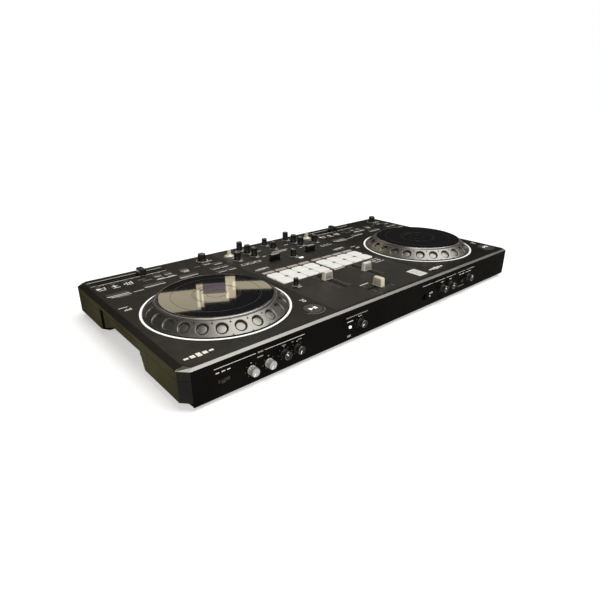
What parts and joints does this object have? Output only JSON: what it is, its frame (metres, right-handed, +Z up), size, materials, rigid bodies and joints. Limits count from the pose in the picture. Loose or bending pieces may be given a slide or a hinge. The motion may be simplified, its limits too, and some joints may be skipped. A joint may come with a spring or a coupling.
{
  "type": "dj controller",
  "caption": "Two-deck DJ controller: flat bevelled case, two jog wheels with lit rings, central mixer with knobs, faders and drum pads, row of knobs on the front.",
  "frame": {"origin": "centre of the box's footprint, on the plane the feet stand on", "axes": "+X to the player's right along the width, +Y to the back, +Z up"},
  "size_m": [0.708, 0.3684, 0.0725],
  "materials": {
    "casing": "fine-grained black moulding",
    "plate": "satin black coated plate",
    "silver": "satin silver",
    "jog_rim": "satin grey metallic",
    "lens": "milky white light guide",
    "pad": "lit translucent silicone",
    "knob": "soft black moulding",
    "cap": "beige grey moulding",
    "cream": "cream moulding",
    "board": "green solder mask",
    "jog_disc": "mirror black top disc",
    "print": "white screen print",
    "foot": "black rubber",
    "metal": "nickel-plated contacts and screws"
  },
  "bodies": {
    "case": {"top_case": "casing", "bottom_case": "casing", "front_panel": "casing", "front_trim": "silver", "rear_panel": "casing", "mixer_faceplate": "plate", "control_board": "board", "left_jog_light_ring": "lens", "right_jog_light_ring": "lens"},
    "left_jog_wheel": {"left_jog_wheel": "jog_rim"},
    "left_browse_encoder": {"left_browse_encoder": "knob"},
    "right_jog_wheel": {"right_jog_wheel": "jog_rim"},
    "right_browse_encoder": {"right_browse_encoder": "knob"},
    "gain_knob_1": {"gain_knob_1": "knob"},
    "eq_high_knob_1": {"eq_high_knob_1": "knob"},
    "eq_low_knob_1": {"eq_low_knob_1": "knob"},
    "gain_knob_2": {"gain_knob_2": "knob"},
    "eq_high_knob_2": {"eq_high_knob_2": "knob"},
    "eq_low_knob_2": {"eq_low_knob_2": "knob"},
    "master_level_knob": {"master_level_knob": "knob"},
    "booth_level_knob": {"booth_level_knob": "knob"},
    "effect_depth_knob": {"effect_depth_knob": "knob"},
    "trim_knob_1": {"trim_knob_1": "knob"},
    "trim_knob_2": {"trim_knob_2": "knob"},
    "filter_knob_1": {"filter_knob_1": "cream"},
    "filter_knob_2": {"filter_knob_2": "cream"},
    "cue_mix_knob": {"cue_mix_knob": "knob"},
    "phones_mix_knob": {"phones_mix_knob": "silver"},
    "phones_level_knob": {"phones_level_knob": "silver"},
    "mic_level_knob": {"mic_level_knob": "knob"},
    "mic_tone_knob": {"mic_tone_knob": "knob"},
    "fader_curve_knob": {"fader_curve_knob": "knob"},
    "aux_level_knob": {"aux_level_knob": "knob"},
    "aux_tone_knob": {"aux_tone_knob": "knob"},
    "cue_level_knob": {"cue_level_knob": "knob"},
    "left_channel_fader_cap": {"left_channel_fader_cap": "cap"},
    "right_channel_fader_cap": {"right_channel_fader_cap": "cap"},
    "crossfader_cap": {"crossfader_cap": "cream"},
    "left_tempo_fader_cap": {"left_tempo_fader_cap": "knob"},
    "right_tempo_fader_cap": {"right_tempo_fader_cap": "knob"},
    "left_pad_1": {"left_pad_1": "pad"},
    "left_pad_2": {"left_pad_2": "pad"},
    "left_pad_3": {"left_pad_3": "pad"},
    "left_pad_4": {"left_pad_4": "pad"},
    "left_pad_5": {"left_pad_5": "pad"},
    "left_pad_6": {"left_pad_6": "pad"},
    "left_pad_7": {"left_pad_7": "pad"},
    "left_pad_8": {"left_pad_8": "pad"},
    "right_pad_1": {"right_pad_1": "pad"},
    "right_pad_2": {"right_pad_2": "pad"},
    "right_pad_3": {"right_pad_3": "pad"},
    "right_pad_4": {"right_pad_4": "pad"},
    "right_pad_5": {"right_pad_5": "pad"},
    "right_pad_6": {"right_pad_6": "pad"},
    "right_pad_7": {"right_pad_7": "pad"},
    "right_pad_8": {"right_pad_8": "pad"},
    "left_play_button": {"left_play_button": "knob"},
    "right_play_button": {"right_play_button": "knob"},
    "left_effect_paddle": {"left_effect_paddle": "knob"},
    "right_effect_paddle": {"right_effect_paddle": "knob"}
  },
  "joints": [
    {"name": "left_jog_spin", "type": "hinge", "parent": "case", "child": "left_jog_wheel", "pos_m": [-0.23015, -0.04425, 0.0725], "axis": [0, 0, 1], "continuous": true},
    {"name": "left_browse_turn", "type": "hinge", "parent": "case", "child": "left_browse_encoder", "pos_m": [-0.145, 0.14665, 0.0645], "axis": [0, 0, 1], "continuous": true},
    {"name": "right_jog_spin", "type": "hinge", "parent": "case", "child": "right_jog_wheel", "pos_m": [0.23015, -0.04425, 0.0725], "axis": [0, 0, 1], "continuous": true},
    {"name": "right_browse_turn", "type": "hinge", "parent": "case", "child": "right_browse_encoder", "pos_m": [0.3153, 0.14665, 0.0645], "axis": [0, 0, 1], "continuous": true},
    {"name": "gain_knob_1_turn", "type": "hinge", "parent": "case", "child": "gain_knob_1", "pos_m": [-0.057, 0.15765, 0.0625], "axis": [0, 0, 1], "range_deg": [-150, 150]},
    {"name": "eq_high_knob_1_turn", "type": "hinge", "parent": "case", "child": "eq_high_knob_1", "pos_m": [-0.057, 0.13165, 0.0625], "axis": [0, 0, 1], "range_deg": [-150, 150]},
    {"name": "eq_low_knob_1_turn", "type": "hinge", "parent": "case", "child": "eq_low_knob_1", "pos_m": [-0.057, 0.10865, 0.0625], "axis": [0, 0, 1], "range_deg": [-150, 150]},
    {"name": "gain_knob_2_turn", "type": "hinge", "parent": "case", "child": "gain_knob_2", "pos_m": [0.057, 0.15765, 0.0625], "axis": [0, 0, 1], "range_deg": [-150, 150]},
    {"name": "eq_high_knob_2_turn", "type": "hinge", "parent": "case", "child": "eq_high_knob_2", "pos_m": [0.057, 0.13165, 0.0625], "axis": [0, 0, 1], "range_deg": [-150, 150]},
    {"name": "eq_low_knob_2_turn", "type": "hinge", "parent": "case", "child": "eq_low_knob_2", "pos_m": [0.057, 0.10865, 0.0625], "axis": [0, 0, 1], "range_deg": [-150, 150]},
    {"name": "master_level_knob_turn", "type": "hinge", "parent": "case", "child": "master_level_knob", "pos_m": [0, 0.15365, 0.0625], "axis": [0, 0, 1], "range_deg": [-150, 150]},
    {"name": "booth_level_knob_turn", "type": "hinge", "parent": "case", "child": "booth_level_knob", "pos_m": [0, 0.12465, 0.0625], "axis": [0, 0, 1], "range_deg": [-150, 150]},
    {"name": "effect_depth_knob_turn", "type": "hinge", "parent": "case", "child": "effect_depth_knob", "pos_m": [-0.002, 0.06125, 0.0625], "axis": [0, 0, 1], "range_deg": [-150, 150]},
    {"name": "trim_knob_1_turn", "type": "hinge", "parent": "case", "child": "trim_knob_1", "pos_m": [-0.094, 0.10865, 0.0625], "axis": [0, 0, 1], "range_deg": [-150, 150]},
    {"name": "trim_knob_2_turn", "type": "hinge", "parent": "case", "child": "trim_knob_2", "pos_m": [0.094, 0.10865, 0.0625], "axis": [0, 0, 1], "range_deg": [-150, 150]},
    {"name": "filter_knob_1_turn", "type": "hinge", "parent": "case", "child": "filter_knob_1", "pos_m": [-0.095, 0.13465, 0.0625], "axis": [0, 0, 1], "range_deg": [-150, 150]},
    {"name": "filter_knob_2_turn", "type": "hinge", "parent": "case", "child": "filter_knob_2", "pos_m": [0.095, 0.13465, 0.0625], "axis": [0, 0, 1], "range_deg": [-150, 150]},
    {"name": "cue_mix_knob_turn", "type": "hinge", "parent": "case", "child": "cue_mix_knob", "pos_m": [-0.096, -0.05635, 0.0625], "axis": [0, 0, 1], "range_deg": [-150, 150]},
    {"name": "phones_mix_knob_turn", "type": "hinge", "parent": "case", "child": "phones_mix_knob", "pos_m": [-0.2655, -0.17935, 0.0247], "axis": [0, -1, 0], "range_deg": [-150, 150]},
    {"name": "phones_level_knob_turn", "type": "hinge", "parent": "case", "child": "phones_level_knob", "pos_m": [-0.24, -0.17935, 0.0247], "axis": [0, -1, 0], "range_deg": [-150, 150]},
    {"name": "mic_level_knob_turn", "type": "hinge", "parent": "case", "child": "mic_level_knob", "pos_m": [-0.216, -0.17935, 0.0289], "axis": [0, -1, 0], "range_deg": [-150, 150]},
    {"name": "mic_tone_knob_turn", "type": "hinge", "parent": "case", "child": "mic_tone_knob", "pos_m": [-0.1945, -0.17935, 0.0289], "axis": [0, -1, 0], "range_deg": [-150, 150]},
    {"name": "fader_curve_knob_turn", "type": "hinge", "parent": "case", "child": "fader_curve_knob", "pos_m": [-0.077, -0.17935, 0.0285], "axis": [0, -1, 0], "range_deg": [-150, 150]},
    {"name": "aux_level_knob_turn", "type": "hinge", "parent": "case", "child": "aux_level_knob", "pos_m": [0.128, -0.17935, 0.0285], "axis": [0, -1, 0], "range_deg": [-150, 150]},
    {"name": "aux_tone_knob_turn", "type": "hinge", "parent": "case", "child": "aux_tone_knob", "pos_m": [0.152, -0.17935, 0.0285], "axis": [0, -1, 0], "range_deg": [-150, 150]},
    {"name": "cue_level_knob_turn", "type": "hinge", "parent": "case", "child": "cue_level_knob", "pos_m": [0.209, -0.17935, 0.0295], "axis": [0, -1, 0], "range_deg": [-150, 150]},
    {"name": "left_channel_fader", "type": "slide", "parent": "case", "child": "left_channel_fader_cap", "axis": [0, 1, 0], "range_m": [-0.0385, 0.0205]},
    {"name": "right_channel_fader", "type": "slide", "parent": "case", "child": "right_channel_fader_cap", "axis": [0, 1, 0], "range_m": [-0.028, 0.031]},
    {"name": "crossfader", "type": "slide", "parent": "case", "child": "crossfader_cap", "axis": [1, 0, 0], "range_m": [-0.0225, 0.0225]},
    {"name": "left_tempo_fader", "type": "slide", "parent": "case", "child": "left_tempo_fader_cap", "axis": [1, 0, 0], "range_m": [-0.067, 0.025]},
    {"name": "right_tempo_fader", "type": "slide", "parent": "case", "child": "right_tempo_fader_cap", "axis": [1, 0, 0], "range_m": [-0.0487, 0.0433]},
    {"name": "left_pad_1_press", "type": "slide", "parent": "case", "child": "left_pad_1", "axis": [0, 0, 1], "range_m": [-0.0012, 0], "stiffness_N_per_m": 600, "springref_m": 0.001},
    {"name": "left_pad_2_press", "type": "slide", "parent": "case", "child": "left_pad_2", "axis": [0, 0, 1], "range_m": [-0.0012, 0], "stiffness_N_per_m": 600, "springref_m": 0.001},
    {"name": "left_pad_3_press", "type": "slide", "parent": "case", "child": "left_pad_3", "axis": [0, 0, 1], "range_m": [-0.0012, 0], "stiffness_N_per_m": 600, "springref_m": 0.001},
    {"name": "left_pad_4_press", "type": "slide", "parent": "case", "child": "left_pad_4", "axis": [0, 0, 1], "range_m": [-0.0012, 0], "stiffness_N_per_m": 600, "springref_m": 0.001},
    {"name": "left_pad_5_press", "type": "slide", "parent": "case", "child": "left_pad_5", "axis": [0, 0, 1], "range_m": [-0.0012, 0], "stiffness_N_per_m": 600, "springref_m": 0.001},
    {"name": "left_pad_6_press", "type": "slide", "parent": "case", "child": "left_pad_6", "axis": [0, 0, 1], "range_m": [-0.0012, 0], "stiffness_N_per_m": 600, "springref_m": 0.001},
    {"name": "left_pad_7_press", "type": "slide", "parent": "case", "child": "left_pad_7", "axis": [0, 0, 1], "range_m": [-0.0012, 0], "stiffness_N_per_m": 600, "springref_m": 0.001},
    {"name": "left_pad_8_press", "type": "slide", "parent": "case", "child": "left_pad_8", "axis": [0, 0, 1], "range_m": [-0.0012, 0], "stiffness_N_per_m": 600, "springref_m": 0.001},
    {"name": "right_pad_1_press", "type": "slide", "parent": "case", "child": "right_pad_1", "axis": [0, 0, 1], "range_m": [-0.0012, 0], "stiffness_N_per_m": 600, "springref_m": 0.001},
    {"name": "right_pad_2_press", "type": "slide", "parent": "case", "child": "right_pad_2", "axis": [0, 0, 1], "range_m": [-0.0012, 0], "stiffness_N_per_m": 600, "springref_m": 0.001},
    {"name": "right_pad_3_press", "type": "slide", "parent": "case", "child": "right_pad_3", "axis": [0, 0, 1], "range_m": [-0.0012, 0], "stiffness_N_per_m": 600, "springref_m": 0.001},
    {"name": "right_pad_4_press", "type": "slide", "parent": "case", "child": "right_pad_4", "axis": [0, 0, 1], "range_m": [-0.0012, 0], "stiffness_N_per_m": 600, "springref_m": 0.001},
    {"name": "right_pad_5_press", "type": "slide", "parent": "case", "child": "right_pad_5", "axis": [0, 0, 1], "range_m": [-0.0012, 0], "stiffness_N_per_m": 600, "springref_m": 0.001},
    {"name": "right_pad_6_press", "type": "slide", "parent": "case", "child": "right_pad_6", "axis": [0, 0, 1], "range_m": [-0.0012, 0], "stiffness_N_per_m": 600, "springref_m": 0.001},
    {"name": "right_pad_7_press", "type": "slide", "parent": "case", "child": "right_pad_7", "axis": [0, 0, 1], "range_m": [-0.0012, 0], "stiffness_N_per_m": 600, "springref_m": 0.001},
    {"name": "right_pad_8_press", "type": "slide", "parent": "case", "child": "right_pad_8", "axis": [0, 0, 1], "range_m": [-0.0012, 0], "stiffness_N_per_m": 600, "springref_m": 0.001},
    {"name": "left_play_press", "type": "slide", "parent": "case", "child": "left_play_button", "axis": [0, 0, 1], "range_m": [-0.001, 0], "stiffness_N_per_m": 800, "springref_m": 0.001},
    {"name": "right_play_press", "type": "slide", "parent": "case", "child": "right_play_button", "axis": [0, 0, 1], "range_m": [-0.001, 0], "stiffness_N_per_m": 800, "springref_m": 0.001},
    {"name": "left_effect_paddle_tilt", "type": "hinge", "parent": "case", "child": "left_effect_paddle", "pos_m": [-0.043, 0.06465, 0.0485], "axis": [1, 0, 0], "range_deg": [-20, 20]},
    {"name": "right_effect_paddle_tilt", "type": "hinge", "parent": "case", "child": "right_effect_paddle", "pos_m": [0.043, 0.06465, 0.0485], "axis": [1, 0, 0], "range_deg": [-20, 20]}
  ]
}
